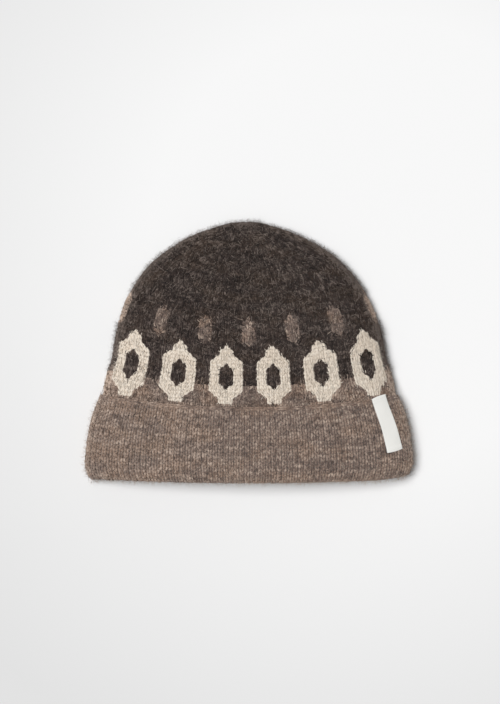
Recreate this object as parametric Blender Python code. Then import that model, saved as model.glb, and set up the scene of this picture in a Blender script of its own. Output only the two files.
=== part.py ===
"""Knitted beanie with a turned-up cuff, lying on its back on a flat surface.

The hat is drawn as rows of knitting, from the hem (low Y) to the top of the crown (high Y).
Each row is one closed loop: a domed front layer, two folded sides and a back layer that lies flat.
X runs from the wearer's right to left side, Y from the hem to the crown, and Z up from the surface.
The origin is on the surface, under the middle of the hat. All sizes are in metres.
"""

import math

import bmesh
import bpy
import numpy as np

MM = 0.001

# Overall sizes of the hat as it lies
HAT_WIDTH = 266 * MM
HAT_LENGTH = 212 * MM
CROWN_LOFT = 37 * MM
EDGE_HEIGHT = 7 * MM

# The knitted fabric, and the turned-up cuff
KNIT_WALL = 3.0 * MM
LAYER_GAP = 0.4 * MM
BUTT_GAP = 0.3 * MM
CUFF_DEPTH = 63.6 * MM
STEP_RUN = 16 * MM

# The woven label
LABEL_WIDTH = 12.8 * MM
LABEL_LENGTH = 46.5 * MM
LABEL_THICKNESS = 0.8 * MM
LABEL_CLEARANCE = 0.3 * MM
LABEL_FROM_FOLD = 26.0 * MM
LABEL_ABOVE_EDGE = 1.5 * MM
LABEL_TURN = math.radians(4.5)

# How fast the front layer drops towards the folded sides: 0.5 is an ellipse, 1 a parabola
LENS_POWER = 0.625

# Faces of the mesh
FRONT_FACETS = 30
SIDE_FACETS = 3
BACK_FACETS = 10
CROWN_ROWS = 28
CROWN_CROWDING = 1.35
CUFF_ROWS = 7
EDGE_FACETS = 4
HEM_FACETS = 6
LABEL_FACETS_WIDE = 3
LABEL_FACETS_LONG = 10
FINE_STEPS = 8

# Where each layer lies, counted outward from the outer face of the crown's knitting
CUFF_INSIDE = LAYER_GAP
CUFF_OUTSIDE = LAYER_GAP + KNIT_WALL
CROWN_HALF_WIDTH = HAT_WIDTH / 2 - CUFF_OUTSIDE
HEM_RADIUS = (CUFF_OUTSIDE + KNIT_WALL) / 2
HEM_MIDDLE = CUFF_OUTSIDE - HEM_RADIUS

# The crown's rows of knitting, from the hem to the top.
# along: place of the row's middle, as a share of HAT_LENGTH
# width: half the row's width, as a share of CROWN_HALF_WIDTH
# bow:   how far the row's ends stand above its middle, as a share of half its width
# swell: height of the front layer above the folded sides, as a share of the room for it
# lean:  how far the row's middle stands to the left, as a share of CROWN_HALF_WIDTH
ROW_COLUMNS = ("along", "width", "bow", "swell", "lean")
ROW_TABLE = (
    (0.000, 0.956, 0.024, 0.70, 0.000),
    (0.015, 0.984, 0.025, 0.72, 0.000),
    (0.060, 1.000, 0.028, 0.76, 0.000),
    (0.174, 0.978, 0.047, 0.87, 0.000),
    (0.300, 0.917, 0.074, 0.95, 0.000),
    (0.355, 0.896, 0.100, 0.98, 0.000),
    (0.413, 0.858, 0.140, 1.00, 0.000),
    (0.494, 0.830, 0.167, 1.00, 0.002),
    (0.591, 0.773, 0.200, 0.96, 0.008),
    (0.702, 0.636, 0.298, 0.86, 0.014),
    (0.808, 0.422, 0.435, 0.70, 0.019),
    (0.891, 0.235, 0.552, 0.52, 0.022),
    (0.947, 0.117, 0.625, 0.36, 0.024),
    (0.967, 0.085, 0.580, 0.27, 0.025),
    (0.989, 0.046, 0.370, 0.17, 0.025),
    (0.997, 0.023, 0.200, 0.10, 0.025),
    (1.000, 0.000, 0.000, 0.00, 0.025),
)

CHARCOAL = (0.052, 0.042, 0.036, 1)
TAUPE = (0.205, 0.150, 0.122, 1)
CREAM = (0.86, 0.83, 0.78, 1)


def clear_scene():
    for obj in list(bpy.data.objects):
        bpy.data.objects.remove(obj)


def material(name, colour, roughness):
    made = bpy.data.materials.new(name)
    made.use_nodes = True
    shader = made.node_tree.nodes["Principled BSDF"]
    shader.inputs["Base Color"].default_value = colour
    shader.inputs["Roughness"].default_value = roughness
    shader.inputs["Metallic"].default_value = 0
    return made


def smooth_through(x, y, at):
    """Values at `at` of a smooth curve through (x, y) that doesn't overshoot between its points."""
    step = np.diff(x)
    slope = np.diff(y) / step
    inner = np.where(
        slope[:-1] * slope[1:] > 0,
        2 * slope[:-1] * slope[1:] / np.where(slope[:-1] + slope[1:] == 0, 1, slope[:-1] + slope[1:]),
        0,
    )
    tangent = np.concatenate([[slope[0]], inner, [slope[-1]]])
    i = np.clip(np.searchsorted(x, at, side="right") - 1, 0, len(step) - 1)
    t = (at - x[i]) / step[i]
    return (
        (1 + 2 * t) * (1 - t) ** 2 * y[i]
        + t * (1 - t) ** 2 * step[i] * tangent[i]
        + t**2 * (3 - 2 * t) * y[i + 1]
        + t**2 * (t - 1) * step[i] * tangent[i + 1]
    )


class Rows:
    """The crown's rows, found by their distance from the hem over the middle of the front layer."""

    def __init__(self):
        columns = dict(zip(ROW_COLUMNS, np.array(ROW_TABLE).T))
        place = columns["along"] * HAT_LENGTH
        height = columns["swell"] * (CROWN_LOFT - EDGE_HEIGHT)
        self.columns = columns
        self.distance = np.concatenate([[0], np.cumsum(np.hypot(np.diff(place), np.diff(height)))])
        self.length = self.distance[-1]

    def value(self, column, distance):
        return float(smooth_through(self.distance, self.columns[column], np.array([distance]))[0])

    def lifted_by_cuff(self, distance):
        """How high the back layer lies where the cuff is folded under it, and just past the cuff."""
        past = min(max((distance - CUFF_DEPTH) / STEP_RUN, 0), 1)
        return CUFF_OUTSIDE * (1 - past * past * (3 - 2 * past))

    def lifted_by_fold(self, distance):
        """How high the back layer lies where it rounds up into the fold at the top of the crown."""
        from_top = HAT_LENGTH * (1 - self.value("along", distance))
        short = max(EDGE_HEIGHT - from_top, 0)
        return EDGE_HEIGHT - math.sqrt(max(EDGE_HEIGHT**2 - short**2, 0))


def row_profile(rows, distance):
    """The row's loop as fine points (a, z), clockwise from its left fold over the front layer.

    a is the place along the row, from its middle, and z the height. Every FINE_STEPS-th point is a corner.
    """
    half_width = CROWN_HALF_WIDTH * rows.value("width", distance)
    bow = half_width * rows.value("bow", distance)
    turn = 2 * math.atan2(bow, half_width)
    half_length = half_width * (turn / math.sin(turn) if turn > 0 else 1)
    lift = rows.lifted_by_cuff(distance)
    fold = lift + EDGE_HEIGHT
    swell = rows.value("swell", distance) * (CROWN_LOFT - EDGE_HEIGHT)
    under = EDGE_HEIGHT - rows.lifted_by_fold(distance)
    side = min(EDGE_HEIGHT, half_length)

    across = np.linspace(-math.pi / 2, math.pi / 2, FRONT_FACETS * FINE_STEPS + 1)[:-1]
    front = np.stack(
        [half_length * np.sin(across), fold + swell * np.cos(across) ** (2 * LENS_POWER)], axis=1
    )
    round_side = np.linspace(0, math.pi / 2, SIDE_FACETS * FINE_STEPS + 1)[:-1]
    right = np.stack(
        [half_length - side + side * np.cos(round_side), fold - under * np.sin(round_side)], axis=1
    )
    flat = np.linspace(half_length - side, side - half_length, BACK_FACETS * FINE_STEPS + 1)[:-1]
    back = np.stack([flat, np.full_like(flat, fold - under)], axis=1)
    left = np.stack(
        [side - half_length - side * np.sin(round_side), fold - under * np.cos(round_side)], axis=1
    )
    return np.concatenate([front, right, back, left])


def outward(profile):
    """Unit normals of a closed loop that runs clockwise."""
    along = np.roll(profile, -1, axis=0) - np.roll(profile, 1, axis=0)
    normal = np.stack([-along[:, 1], along[:, 0]], axis=1)
    return normal / np.maximum(np.linalg.norm(normal, axis=1, keepdims=True), 1e-12)


def laid_on_row(rows, distance, profile):
    """Points (a, z) of a row as points in space: each row is bent upwards into an arc as it lies."""
    half_width = CROWN_HALF_WIDTH * rows.value("width", distance)
    bow = half_width * rows.value("bow", distance)
    middle_x = -CROWN_HALF_WIDTH * rows.value("lean", distance)
    middle_y = HAT_LENGTH * (rows.value("along", distance) - 0.5)
    a, z = profile[:, 0], profile[:, 1]
    turn = 2 * math.atan2(bow, half_width)
    if turn == 0:
        return np.stack([middle_x + a, middle_y + 0 * a, z], axis=1)
    radius = half_width / math.sin(turn)
    return np.stack(
        [middle_x + radius * np.sin(a / radius), middle_y + radius * (1 - np.cos(a / radius)), z], axis=1
    )


def row_corners(rows, distance, out):
    """The corners of the row's loop, standing `out` from the outer face of the crown."""
    profile = row_profile(rows, distance)
    moved = profile + out * outward(profile)
    return laid_on_row(rows, distance, moved[::FINE_STEPS])


def half_row(rows, distance, out):
    """The front layer from the row's middle to its right fold, with the distance walked over the cloth."""
    profile = row_profile(rows, distance)
    moved = profile + out * outward(profile)
    middle = FRONT_FACETS * FINE_STEPS // 2
    over = moved[middle : 2 * middle + 1]
    walked = np.concatenate([[0], np.cumsum(np.linalg.norm(np.diff(over, axis=0), axis=1))])
    return over, walked


def row_point(rows, distance, aside, out):
    """The point of the front layer that lies `aside` from the row's middle, measured over the cloth."""
    over, walked = half_row(rows, distance, out)
    point = np.array([[np.interp(aside, walked, over[:, 0]), np.interp(aside, walked, over[:, 1])]])
    return laid_on_row(rows, distance, point)[0]


def mesh_object(name, bm, surface):
    bmesh.ops.recalc_face_normals(bm, faces=bm.faces)
    mesh = bpy.data.meshes.new(name)
    bm.to_mesh(mesh)
    bm.free()
    mesh.shade_smooth()
    mesh.set_sharp_from_angle(angle=math.radians(50))
    mesh.materials.append(surface)
    obj = bpy.data.objects.new(name, mesh)
    bpy.context.scene.collection.objects.link(obj)
    return obj


def add_ring(bm, points):
    return [bm.verts.new(p) for p in points]


def join_rings(bm, first, second):
    for i in range(len(first)):
        j = (i + 1) % len(first)
        bm.faces.new((first[i], first[j], second[j], second[i]))


def cap_ring(bm, ring, tip):
    for i in range(len(ring)):
        bm.faces.new((ring[i], ring[(i + 1) % len(ring)], tip))


def crown(rows):
    """The hat's body: one layer of knitting, closed at the top and open at the hem."""
    bottom = HEM_RADIUS + BUTT_GAP
    shares = [1 - (1 - i / CROWN_ROWS) ** CROWN_CROWDING for i in range(CROWN_ROWS)]
    distances = [bottom + (rows.length - bottom) * share for share in shares]

    skin = bmesh.new()
    rings = [add_ring(skin, row_corners(rows, distance, 0)) for distance in distances]
    tip_x = -CROWN_HALF_WIDTH * rows.value("lean", rows.length)
    tip = skin.verts.new((tip_x, HAT_LENGTH / 2, EDGE_HEIGHT))
    for lower, upper in zip(rings, rings[1:]):
        join_rings(skin, lower, upper)
    cap_ring(skin, rings[-1], tip)
    bmesh.ops.recalc_face_normals(skin, faces=skin.faces)
    skin.normal_update()

    bm = bmesh.new()
    outer = [[bm.verts.new(v.co) for v in ring] for ring in rings]
    inner = [[bm.verts.new(inward(v)) for v in ring] for ring in rings]
    outer_tip = bm.verts.new(tip.co)
    inner_tip = bm.verts.new(inward(tip))
    skin.free()
    for layer, layer_tip in ((outer, outer_tip), (inner, inner_tip)):
        for lower, upper in zip(layer, layer[1:]):
            join_rings(bm, lower, upper)
        cap_ring(bm, layer[-1], layer_tip)
    join_rings(bm, outer[0], inner[0])
    return mesh_object("crown", bm, material("charcoal_knit", CHARCOAL, 0.95))


def inward(vertex):
    """The point on the other face of the knitting, straight through it."""
    return vertex.co - KNIT_WALL * vertex.normal


def cuff_outline():
    """The cuff cut across, as (distance from the hem, out): a leg that stands on a solid rounded hem."""
    half_wall = KNIT_WALL / 2
    top = CUFF_DEPTH - half_wall
    legs = np.linspace(HEM_RADIUS, top, CUFF_ROWS)
    inside = [(distance, CUFF_INSIDE) for distance in legs]
    turns = [math.pi * i / EDGE_FACETS for i in range(1, EDGE_FACETS)]
    edge = [
        (top + half_wall * math.sin(turn), CUFF_INSIDE + half_wall * (1 - math.cos(turn)))
        for turn in turns
    ]
    outside = [(distance, CUFF_OUTSIDE) for distance in legs[::-1]]
    turns = [math.pi * i / HEM_FACETS for i in range(1, HEM_FACETS + 1)]
    hem = [
        (HEM_RADIUS * (1 - math.sin(turn)), HEM_MIDDLE + HEM_RADIUS * math.cos(turn)) for turn in turns
    ]
    return inside + edge + outside + hem


def cuff(rows):
    """The turned-up cuff: the knitting goes on round the hem and back up over the outside."""
    bm = bmesh.new()
    rings = [add_ring(bm, row_corners(rows, distance, out)) for distance, out in cuff_outline()]
    for i, ring in enumerate(rings):
        join_rings(bm, ring, rings[(i + 1) % len(rings)])
    return mesh_object("cuff", bm, material("taupe_knit", TAUPE, 0.95))


def label_aside(rows, distance):
    """How far the line of knitting under the label is from the middle of the row at this distance.

    The lines spread towards the hem, as the rows get wider.
    """
    at_edge = half_row(rows, CUFF_DEPTH, CUFF_OUTSIDE)[1][-1] - LABEL_FROM_FOLD
    return at_edge * rows.value("width", distance) / rows.value("width", CUFF_DEPTH)


def label_span(rows, out):
    """How many metres of rows the label covers, so that it is LABEL_LENGTH long on the sloping cloth."""
    top = label_point(rows, 0, 0, out)
    low = label_point(rows, 0, LABEL_LENGTH, out)
    return LABEL_LENGTH**2 / float(np.linalg.norm(top - low))


def label_point(rows, beside, below, out):
    """A point of the label, which is turned a little on the cloth, from the middle of its upper end."""
    down = below * math.cos(LABEL_TURN) - beside * math.sin(LABEL_TURN)
    over = beside * math.cos(LABEL_TURN) + below * math.sin(LABEL_TURN)
    distance = CUFF_DEPTH + LABEL_ABOVE_EDGE - down
    return row_point(rows, distance, label_aside(rows, distance) + over, out)


def label(rows):
    """The woven label on the cuff, sewn on with its short end at the cuff's top edge."""
    low = CUFF_OUTSIDE + LABEL_CLEARANCE
    span = label_span(rows, low)
    bm = bmesh.new()
    faces = {}
    for out in (low, low + LABEL_THICKNESS):
        for j in range(LABEL_FACETS_LONG + 1):
            below = span * j / LABEL_FACETS_LONG
            for i in range(LABEL_FACETS_WIDE + 1):
                beside = LABEL_WIDTH * (i / LABEL_FACETS_WIDE - 0.5)
                faces[out, i, j] = bm.verts.new(label_point(rows, beside, below, out))
        for j in range(LABEL_FACETS_LONG):
            for i in range(LABEL_FACETS_WIDE):
                corners = ((i, j), (i + 1, j), (i + 1, j + 1), (i, j + 1))
                bm.faces.new([faces[out, a, b] for a, b in corners])
    rim = [(i, 0) for i in range(LABEL_FACETS_WIDE)]
    rim += [(LABEL_FACETS_WIDE, j) for j in range(LABEL_FACETS_LONG)]
    rim += [(i, LABEL_FACETS_LONG) for i in range(LABEL_FACETS_WIDE, 0, -1)]
    rim += [(0, j) for j in range(LABEL_FACETS_LONG, 0, -1)]
    under = [faces[low, i, j] for i, j in rim]
    over = [faces[low + LABEL_THICKNESS, i, j] for i, j in rim]
    join_rings(bm, under, over)
    return mesh_object("label", bm, material("woven_label", CREAM, 0.8))


def main():
    clear_scene()
    rows = Rows()
    crown(rows)
    cuff(rows)
    label(rows)


main()
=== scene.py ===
"""Looks of a knitted wool beanie that lies on its back, seen from straight above.

The knitting is built stitch by stitch on the same rows as the solid hat: two yarn legs for each stitch,
a chain along the cuff's bound-off edge, plain knitting on up inside the mouth, and short loose fibres
over it all. A place on the cloth is given by three numbers:
turns: how far round the hat, from the middle of the front, towards the right as the picture shows it
walk:  distance along a column of stitches, in metres
out:   distance above the outer face of the knitting, in metres
"""

import math

import bpy
import numpy as np
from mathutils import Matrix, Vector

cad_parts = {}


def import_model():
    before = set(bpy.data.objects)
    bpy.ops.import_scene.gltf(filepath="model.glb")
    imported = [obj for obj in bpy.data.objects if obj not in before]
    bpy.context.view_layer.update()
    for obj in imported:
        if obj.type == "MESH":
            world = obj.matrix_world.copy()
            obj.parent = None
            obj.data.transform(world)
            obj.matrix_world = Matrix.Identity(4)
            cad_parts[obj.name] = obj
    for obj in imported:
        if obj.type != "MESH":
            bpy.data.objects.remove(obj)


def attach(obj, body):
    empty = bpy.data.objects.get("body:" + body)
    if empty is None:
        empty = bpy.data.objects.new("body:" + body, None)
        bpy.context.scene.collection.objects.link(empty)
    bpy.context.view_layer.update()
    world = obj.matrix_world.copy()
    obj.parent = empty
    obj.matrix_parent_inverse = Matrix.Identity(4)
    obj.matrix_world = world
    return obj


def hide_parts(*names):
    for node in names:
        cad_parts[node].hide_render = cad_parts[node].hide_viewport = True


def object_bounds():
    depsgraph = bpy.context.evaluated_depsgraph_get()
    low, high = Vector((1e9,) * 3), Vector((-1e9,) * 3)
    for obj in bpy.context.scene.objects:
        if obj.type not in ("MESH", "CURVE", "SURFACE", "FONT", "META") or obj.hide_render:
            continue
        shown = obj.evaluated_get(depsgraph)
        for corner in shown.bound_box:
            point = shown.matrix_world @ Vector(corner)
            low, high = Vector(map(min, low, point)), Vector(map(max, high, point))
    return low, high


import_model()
cad_low, cad_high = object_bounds()

MM = 0.001

# The hat as it lies: the same sizes as the solids. STEP_RUN is how far past the cuff the crown takes to
# come down to its own level, and LENS_POWER shapes the dome of the front.
HAT_WIDTH = cad_high[0] - cad_low[0]
HAT_LENGTH = cad_high[1] - cad_low[1]
CROWN_LOFT = 37 * MM
EDGE_HEIGHT = 7 * MM
KNIT_WALL = 3.0 * MM
LAYER_GAP = 0.4 * MM
CUFF_DEPTH = 63.6 * MM
STEP_RUN = 16 * MM
LENS_POWER = 0.625
CUFF_OUTSIDE = LAYER_GAP + KNIT_WALL
CROWN_HALF_WIDTH = HAT_WIDTH / 2 - CUFF_OUTSIDE
HEM_RADIUS = (CUFF_OUTSIDE + KNIT_WALL) / 2
HEM_MIDDLE = CUFF_OUTSIDE - HEM_RADIUS
HEM_BEND = math.pi * HEM_RADIUS
CUFF_LEG = CUFF_DEPTH - HEM_RADIUS

# How far the knitting is drawn in from the solids' outline, as the stitches stand out past their rows
SIDE_INSET = 1.55 * MM
SIDE_LEAN = 0.65 * MM
NARROW_ROW = 30 * MM
TOP_INSET = 0.9 * MM
HEM_INSET = 3.4 * MM
HEM_RUN = 50 * MM

# The hem rises towards its right corner
CORNER_RISE = 5 * MM
CORNER_START = 95 * MM
CORNER_RUN = 35 * MM

# The cuff lies closer to the crown towards its top edge: by what share, and over what distance
EDGE_THINNING = 0.5
EDGE_RUN = 12 * MM

# The crown's rows of knitting, from the hem to the top.
# along: place of the row's middle, as a share of HAT_LENGTH
# width: half the row's width, as a share of CROWN_HALF_WIDTH
# bow:   how far the row's ends stand above its middle, as a share of half its width
# swell: height of the front layer above the folded sides, as a share of the room for it
# lean:  how far the row's middle stands to the left, as a share of CROWN_HALF_WIDTH
ROW_COLUMNS = ("along", "width", "bow", "swell", "lean")
ROW_TABLE = (
    (0.000, 0.956, 0.024, 0.70, 0.000),
    (0.015, 0.984, 0.025, 0.72, 0.000),
    (0.060, 1.000, 0.028, 0.76, 0.000),
    (0.174, 0.978, 0.047, 0.87, 0.000),
    (0.300, 0.917, 0.074, 0.95, 0.000),
    (0.355, 0.896, 0.100, 0.98, 0.000),
    (0.413, 0.858, 0.140, 1.00, 0.000),
    (0.494, 0.830, 0.167, 1.00, 0.002),
    (0.591, 0.773, 0.200, 0.96, 0.008),
    (0.702, 0.636, 0.298, 0.86, 0.014),
    (0.808, 0.422, 0.435, 0.70, 0.019),
    (0.891, 0.235, 0.552, 0.52, 0.022),
    (0.947, 0.117, 0.625, 0.36, 0.024),
    (0.967, 0.085, 0.580, 0.27, 0.025),
    (0.989, 0.046, 0.370, 0.17, 0.025),
    (0.997, 0.023, 0.200, 0.10, 0.025),
    (1.000, 0.000, 0.000, 0.00, 0.025),
)

# How finely the cloth is drawn before stitches are placed on it
NET_ROWS = 420
NET_TURNS = 1080
LOOP_STEPS = 400

# The knitting: stitches round the hat, and the height of a row and the width of a stitch in each part.
# A gore that has less than LEAST_STITCH of a stitch left over does without it.
STITCHES_ROUND = 120
GORES = 12
STITCHES_IN_GORE = STITCHES_ROUND // GORES
YOKE_ROW = 2.85 * MM
CROWN_ROW = 2.8 * MM
CROWN_STITCH = 3.9 * MM
LEAST_STITCH = 0.4
CUFF_ROW = 2.76 * MM
CUFF_COURSES = 36

# The body's rows that the cuff hides, the rows of taupe above its edge, and all rows of the yoke
HIDDEN_ROWS = 3
TAUPE_ROWS = 6
YOKE_ROWS = 27

# By what share the stitches are narrower at the middle of each layer, and wider at the folded sides
SIDE_GIVE = 0.06

# Turns from the front's middle: where the front's rounder yarn ends, and the back's thin fleece starts
FRONT_TURN = 0.27
BEHIND_TURN = 0.29

# The colourwork's two motifs, upward. 0 stitches beside the middle one is a width of one stitch.
# rows:       how many rows are alike
# half_width: stitches of the motif on each side of its middle one
# half_hole:  stitches of its hole on each side of the middle one, or -1 where it has none
EYE_TABLE = (
    (2, 1, -1),
    (1, 2, -1),
    (1, 3, -1),
    (1, 3, 0),
    (5, 3, 1),
    (1, 3, 0),
    (1, 3, -1),
    (1, 2, -1),
    (2, 1, -1),
    (1, 0, -1),
)
DOT_TABLE = (
    (1, 0, -1),
    (6, 1, -1),
    (1, 0, -1),
)

# Each motif: its table, its first row above the cuff's edge, and its middle stitch in each gore
EYE = (EYE_TABLE, 1, 5)
DOT = (DOT_TABLE, 17, 0)

# How far the motifs' edges run on a slant from row to row: 0 keeps the chart's steps, and 1 leaves none
SLANT = 0.72

CHARCOAL, TAUPE, CREAM = 0, 1, 2

# Painted highlight: the wool is painted paler at the folded sides, the hem and the top, for the light that
# its fuzz catches there: how near to them, and how much
FOLD_TURN = 0.255
FOLD_REACH = 0.030
TOP_REACH = 14 * MM
BODY_PAINTED_HIGHLIGHT = 3.2
CUFF_PAINTED_HIGHLIGHT = 2.6

# The yarn's tone drifts from knot to knot along each row, with these many rows before it starts again
KNOT_ROWS = 200
KNOT_STITCHES = 3


def running(steps):
    """Running totals of the steps, from 0."""
    return np.concatenate([[0], np.cumsum(steps)])


def smooth_through(x, y, at):
    """Values at `at` of a smooth curve through (x, y) that doesn't overshoot between its points."""
    step = np.diff(x)
    slope = np.diff(y) / step
    inner = np.where(
        slope[:-1] * slope[1:] > 0,
        2 * slope[:-1] * slope[1:] / np.where(slope[:-1] + slope[1:] == 0, 1, slope[:-1] + slope[1:]),
        0,
    )
    tangent = np.concatenate([[slope[0]], inner, [slope[-1]]])
    i = np.clip(np.searchsorted(x, at, side="right") - 1, 0, len(step) - 1)
    t = (at - x[i]) / step[i]
    return (
        (1 + 2 * t) * (1 - t) ** 2 * y[i]
        + t * (1 - t) ** 2 * step[i] * tangent[i]
        + t**2 * (3 - 2 * t) * y[i + 1]
        + t**2 * (t - 1) * step[i] * tangent[i + 1]
    )


class Cloth:
    """The outer face of the hat's knitting, as a fine net of points that a stitch can be placed on."""

    def __init__(self):
        columns = dict(zip(ROW_COLUMNS, np.array(ROW_TABLE).T))
        place = columns["along"] * HAT_LENGTH
        height = columns["swell"] * (CROWN_LOFT - EDGE_HEIGHT)
        walked = running(np.hypot(np.diff(place), np.diff(height)))
        self.length = walked[-1]
        self.last = self.length - 0.3 * MM
        self.rows = np.linspace(0, self.last, NET_ROWS)
        self.row = {name: smooth_through(walked, columns[name], self.rows) for name in ROW_COLUMNS}
        loops = [self.row_loop(i) for i in range(NET_ROWS)]
        self.points = np.array([loop for loop, _, _ in loops])
        self.draw_in()
        self.around = np.array([around for _, around, _ in loops])
        self.front = np.array([front for _, _, front in loops])
        along_row = np.roll(self.points, -1, axis=1) - np.roll(self.points, 1, axis=1)
        up_column = np.gradient(self.points, axis=0)
        normal = np.cross(along_row, up_column)
        self.normals = normal / np.linalg.norm(normal, axis=2, keepdims=True)

    def draw_in(self):
        """Draws the net in at its outline, where the stitches stand out past the wall, and lifts the hem."""
        x, y = self.points[..., 0], self.points[..., 1]
        middle = (x.max(1) + x.min(1))[:, None] / 2
        half = (x.max(1) - x.min(1))[:, None] / 2
        aside = (x - middle) / half
        share = np.abs(aside) ** 6 * np.clip(half / NARROW_ROW, 0, 1)
        x -= share * (SIDE_INSET * np.sign(aside) + SIDE_LEAN)
        near_hem = np.clip(1 - self.rows / HEM_RUN, 0, 1)[:, None] ** 2
        corner = np.clip((x - CORNER_START) / CORNER_RUN, 0, 1) ** 2
        y += near_hem * (HEM_INSET + CORNER_RISE * corner)
        y -= TOP_INSET * (self.rows / self.last)[:, None] ** 6

    def row_loop(self, i):
        """One row's points at equal steps from the front's middle, the way round, and half its front."""
        half_width = CROWN_HALF_WIDTH * self.row["width"][i]
        bow = half_width * self.row["bow"][i]
        turn = 2 * math.atan2(bow, half_width)
        half_length = half_width * turn / math.sin(turn)
        past_cuff = min(max((self.rows[i] - CUFF_DEPTH) / STEP_RUN, 0), 1)
        fold = EDGE_HEIGHT + CUFF_OUTSIDE * (1 - past_cuff**2 * (3 - 2 * past_cuff))
        swell = self.row["swell"][i] * (CROWN_LOFT - EDGE_HEIGHT)
        short = max(EDGE_HEIGHT - HAT_LENGTH * (1 - self.row["along"][i]), 0)
        under = math.sqrt(max(EDGE_HEIGHT**2 - short**2, 0))
        side = min(EDGE_HEIGHT, half_length)

        across = np.linspace(0, math.pi / 2, LOOP_STEPS)
        bend = np.linspace(0, math.pi / 2, LOOP_STEPS // 4)
        right = np.concatenate([
            np.stack([half_length * np.sin(across), fold + swell * np.cos(across) ** (2 * LENS_POWER)], 1),
            np.stack([half_length - side + side * np.cos(bend), fold - under * np.sin(bend)], 1)[1:],
            np.array([[0, fold - under]]),
        ])
        left = right[::-1] * (-1, 1)
        loop = np.concatenate([right, left[1:]])
        walked = running(np.linalg.norm(np.diff(loop, axis=0), axis=1))
        even = np.linspace(0, walked[-1], NET_TURNS, endpoint=False)
        a = np.interp(even, walked, loop[:, 0])
        z = np.interp(even, walked, loop[:, 1])
        radius = half_width / math.sin(turn)
        middle_x = -CROWN_HALF_WIDTH * self.row["lean"][i]
        middle_y = HAT_LENGTH * (self.row["along"][i] - 0.5)
        bent = np.stack([
            middle_x + radius * np.sin(a / radius),
            middle_y + radius * (1 - np.cos(a / radius)),
            z,
        ], 1)
        return bent, walked[-1], walked[LOOP_STEPS - 1]

    def at(self, turns, walk, out):
        """Points in space, for arrays of places on the hat's body. walk counts from the hem."""
        turns, walk, out = np.broadcast_arrays(turns, walk, out)
        column = (turns % 1) * NET_TURNS
        j = column.astype(int)
        across = (column - j)[..., None]
        row = np.clip(walk / self.last, 0, 1) * (NET_ROWS - 1)
        i = np.minimum(row.astype(int), NET_ROWS - 2)
        up = (row - i)[..., None]
        j, after = j % NET_TURNS, (j + 1) % NET_TURNS

        def between(net):
            low = net[i, j] * (1 - across) + net[i, after] * across
            high = net[i + 1, j] * (1 - across) + net[i + 1, after] * across
            return low * (1 - up) + high * up

        normal = between(self.normals)
        normal /= np.linalg.norm(normal, axis=-1, keepdims=True)
        points = between(self.points) + out[..., None] * normal
        points[..., 2] = np.maximum(points[..., 2], 0)
        return points

    def way_round(self, walk):
        """The length of the row there, all the way round."""
        return np.interp(walk, self.rows, self.around)

    def half_front(self, walk):
        """The length of the row there from the front's middle to the fold at its side."""
        return np.interp(walk, self.rows, self.front)


cloth = Cloth()


def round_cuff(distance):
    """The length of the cuff's outside, all the way round, at a distance from the hem."""
    return cloth.way_round(distance) + 2 * math.pi * CUFF_OUTSIDE


def on_body(turns, walk, out):
    """Points on the hat's body. walk counts from the hem."""
    return cloth.at(turns, walk, out)


def on_cuff(turns, walk, out):
    """Points on the cuff. walk counts from its top edge: down the outside, round the hem and up inside."""
    turns, walk, out = np.broadcast_arrays(turns, walk, out)
    bend = np.clip((walk - CUFF_LEG) / HEM_RADIUS, 0, math.pi)
    inside = np.maximum(walk - CUFF_LEG - HEM_BEND, 0)
    outside = np.minimum(walk, CUFF_LEG) - CUFF_LEG
    distance = HEM_RADIUS - outside - (HEM_RADIUS + out) * np.sin(bend) + inside
    level = HEM_MIDDLE + (HEM_RADIUS + out) * np.cos(bend)
    thinned = EDGE_THINNING * np.clip(1 - walk / EDGE_RUN, 0, 1) ** 2
    level = np.where(level > LAYER_GAP, LAYER_GAP + (level - LAYER_GAP) * (1 - thinned), level)
    lowest = np.minimum(distance, 0)
    points = cloth.at(turns, np.maximum(distance, 0), level)
    points[..., 1] += lowest
    return points


def in_motif(motif, row, column):
    """What a charted motif has at a stitch: 1 for its own yarn, 0 for its hole, and None off the motif."""
    table, below, middle = motif
    far = STITCHES_IN_GORE // 2
    aside = abs((column - middle + far) % STITCHES_IN_GORE - far)
    for rows, half_width, half_hole in table:
        if below <= row < below + rows:
            if aside > half_width:
                return None
            return 0 if aside <= half_hole else 1
        below += rows
    return None


def yarn_at(row, column):
    """The yarn of one stitch of the body. Rows count up from the cuff's edge."""
    eye = in_motif(EYE, row, column)
    if eye is not None:
        return CREAM if eye else CHARCOAL
    if in_motif(DOT, row, column):
        return TAUPE
    return TAUPE if row < TAUPE_ROWS else CHARCOAL


def eased(turn):
    """Where a share of the stitches round the hat lies: they are drawn in at the middle of each layer."""
    return turn - SIDE_GIVE * np.sin(4 * math.pi * turn) / (4 * math.pi)


def uneased(turn):
    """The share of the stitches that lies at a turn: the other way about from eased."""
    share = turn
    for _ in range(3):
        share = turn + SIDE_GIVE * np.sin(4 * math.pi * share) / (4 * math.pi)
    return share


def with_give(stitches):
    """The same stitches, narrower at the middle of each layer and wider towards the folded sides."""
    stretch = 1 - SIDE_GIVE * np.cos(4 * math.pi * stitches["turn"])
    return {
        **stitches,
        "turn": eased(stitches["turn"]),
        "turns_wide": stitches["turns_wide"] * stretch,
        "width": stitches["width"] * stretch,
    }


def yoke_chart():
    """The yarn of every stitch of the yoke, a row of the chart for each row of knitting."""
    rows, columns = range(-HIDDEN_ROWS, YOKE_ROWS), range(STITCHES_ROUND)
    return np.array([[yarn_at(row, column % STITCHES_IN_GORE) for column in columns] for row in rows])


YOKE_CHART = yoke_chart()


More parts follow.
